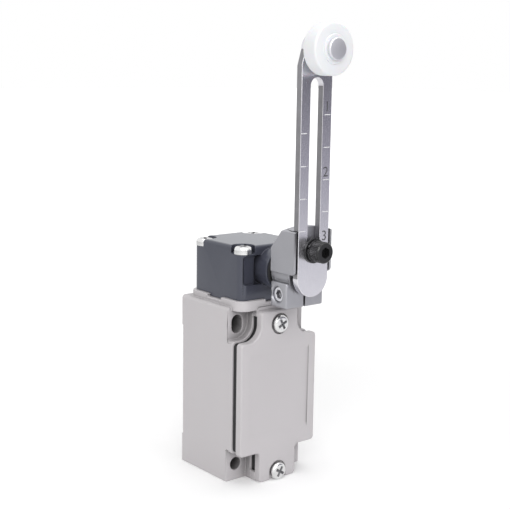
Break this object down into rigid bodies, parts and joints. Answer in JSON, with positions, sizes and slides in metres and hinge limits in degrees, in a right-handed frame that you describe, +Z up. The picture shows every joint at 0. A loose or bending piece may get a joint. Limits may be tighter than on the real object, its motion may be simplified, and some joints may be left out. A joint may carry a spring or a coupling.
{
  "type": "limit switch",
  "caption": "Heavy-duty limit switch: grey die-cast case with a cross-shaped cover, square rotary head, and an adjustable slotted lever with a white roller.",
  "frame": {"origin": "centre of the four mounting holes, on the mounting plane behind the case", "axes": "+Z up towards the head, +Y back into the wall it is bolted to, +X to the right as seen from the cover"},
  "size_m": [0.04, 0.0723, 0.1881],
  "materials": {
    "grey_paint": "warm light grey satin paint on die casting",
    "blue_grey_paint": "dark blue-grey satin paint on die casting",
    "black_rubber": "matt",
    "bright_plate": "bright zinc plate",
    "dark_plastic": "moulded phenolic",
    "amber_plastic": "moulded",
    "brass": "bright",
    "spring_steel": "drawn wire",
    "red_plastic": "moulded",
    "white_nylon": "satin nylon",
    "bronze": "sintered bronze",
    "steel": "turned",
    "satin_casting": "satin zinc casting",
    "black_oxide": "black oxide",
    "polished_steel": "polished stainless strip"
  },
  "bodies": {
    "housing": {"case": "grey_paint", "cover_gasket": "black_rubber", "cover": "grey_paint", "cover_screws": "bright_plate", "ground_screw": "bright_plate", "switch_base": "dark_plastic", "switch_cover": "amber_plastic", "switch_mounting_screws": "bright_plate", "nc_terminals": "brass", "no_terminals": "brass", "terminal_clamps": "bright_plate", "terminal_screws": "bright_plate", "contact_spring": "spring_steel", "return_spring": "spring_steel", "head_housing": "blue_grey_paint", "head_gasket": "black_rubber", "head_screws": "bright_plate", "shaft_bushing": "bronze", "shaft_seal": "black_rubber"},
    "lever": {"lever_shaft": "steel", "shaft_retaining_ring": "spring_steel", "cam": "steel", "cam_pin": "steel", "lever_hub": "satin_casting", "clamp_screw": "steel", "arm_flat_washer": "black_oxide", "arm_spring_washer": "black_oxide", "arm_bolt": "black_oxide"},
    "arm": {"lever_arm": "polished_steel", "roller_pin": "steel"},
    "roller": {"roller": "white_nylon"},
    "plunger": {"plunger": "white_nylon"},
    "button": {"switch_button": "red_plastic"},
    "moving_contact": {"moving_contact": "brass"}
  },
  "joints": [
    {"name": "lever_swing", "type": "hinge", "parent": "housing", "child": "lever", "pos_m": [0, -0.045, 0.0529], "axis": [0, 1, 0], "range_deg": [-70, 70], "stiffness_Nm_per_rad": 0.15},
    {"name": "arm_extend", "type": "slide", "parent": "lever", "child": "arm", "axis": [0, 0, 1], "range_m": [-0.0629, 0.001]},
    {"name": "roller_spin", "type": "hinge", "parent": "arm", "child": "roller", "pos_m": [0, -0.067, 0.1408], "axis": [0, 1, 0], "continuous": true},
    {"name": "plunger_slide", "type": "slide", "parent": "housing", "child": "plunger", "axis": [0, 0, 1], "range_m": [-0.0016, 0.0016], "deforming": ["return_spring"]},
    {"name": "button_slide", "type": "slide", "parent": "housing", "child": "button", "axis": [0, 0, 1], "range_m": [-0.0016, 0.0016], "deforming": ["contact_spring"]},
    {"name": "contact_snap", "type": "slide", "parent": "housing", "child": "moving_contact", "axis": [0, 0, 1], "range_m": [-0.0008, 0], "stiffness_N_per_m": 100, "springref_m": 0.0008}
  ],
  "couplings": [
    {"joint": "plunger_slide", "follows": "lever_swing", "m_per_rad": -0.0012278},
    {"joint": "button_slide", "follows": "lever_swing", "m_per_rad": -0.0012278}
  ]
}
